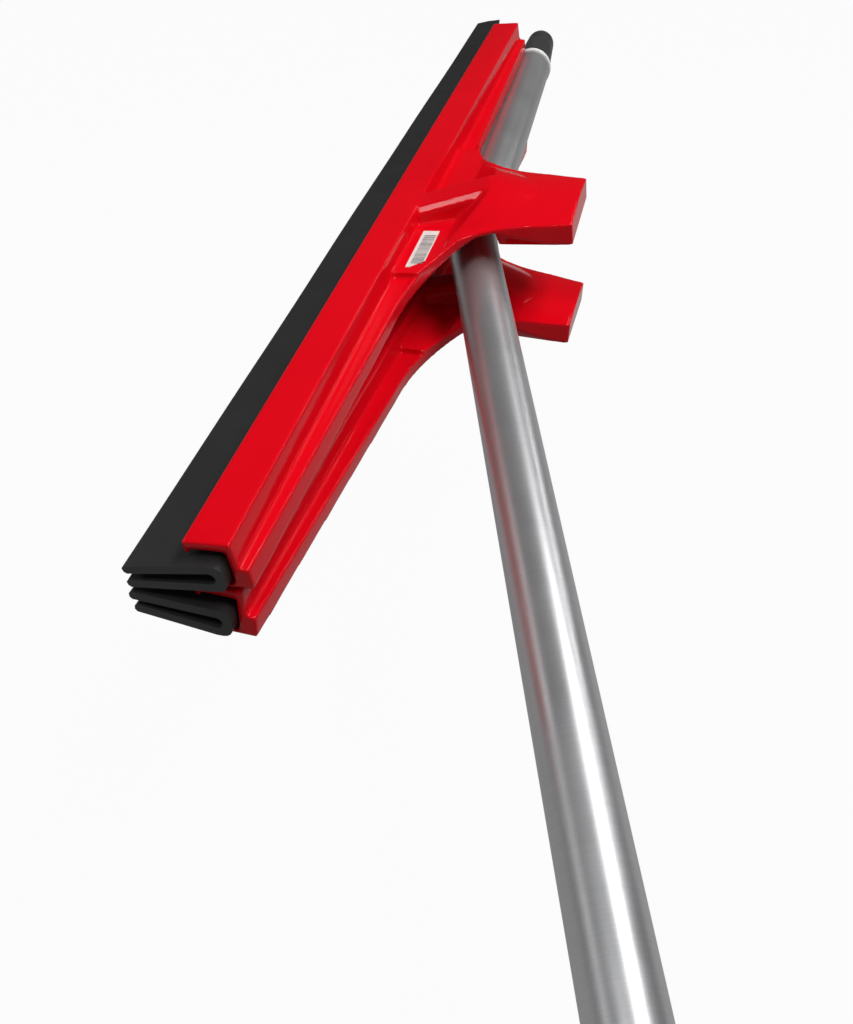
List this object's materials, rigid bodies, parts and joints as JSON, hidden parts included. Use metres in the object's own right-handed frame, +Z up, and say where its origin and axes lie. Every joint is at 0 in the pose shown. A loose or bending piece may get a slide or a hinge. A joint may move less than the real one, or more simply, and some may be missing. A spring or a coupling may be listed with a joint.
{
  "type": "floor squeegee set",
  "caption": "Stacked moulded squeegee heads with folded rubber blades, and a bent aluminium tube handle lying between their necks.",
  "frame": {"origin": "centre of the flat underside of the lower head's tongue", "axes": "+X along the lower blade towards the handle's open end, +Y from the blade to the tongue's end, +Z up from the flat underside to the flange"},
  "size_m": [1.1515, 0.3772, 0.1954],
  "materials": {
    "holder_red": "glossy moulded",
    "blade_rubber": "matte",
    "sticker": "paper",
    "tube_metal": "satin brushed",
    "ring_white": "smooth",
    "cap_black": "satin"
  },
  "bodies": {
    "lower_head": {"lower_holder": "holder_red"},
    "lower_rubber": {"lower_blade": "blade_rubber"},
    "handle": {"handle_tube": "tube_metal", "handle_ring": "ring_white", "handle_cap": "cap_black"},
    "upper_head": {"upper_holder": "holder_red", "label_sticker": "sticker"},
    "upper_rubber": {"upper_blade": "blade_rubber"}
  },
  "joints": [
    {"name": "lower_blade_slide", "type": "slide", "parent": "lower_head", "child": "lower_rubber", "axis": [-1, 0, 0], "range_m": [0, 0.52]},
    {"name": "handle_lift", "type": "slide", "parent": "lower_head", "child": "handle", "axis": [0, 0, 1], "range_m": [0, 0.12]},
    {"name": "upper_head_lift", "type": "slide", "parent": "handle", "child": "upper_head", "axis": [0, 0, 1], "range_m": [0, 0.12]},
    {"name": "upper_blade_slide", "type": "slide", "parent": "upper_head", "child": "upper_rubber", "axis": [-0.9958, -0.0143, 0.0901], "range_m": [0, 0.52]}
  ]
}
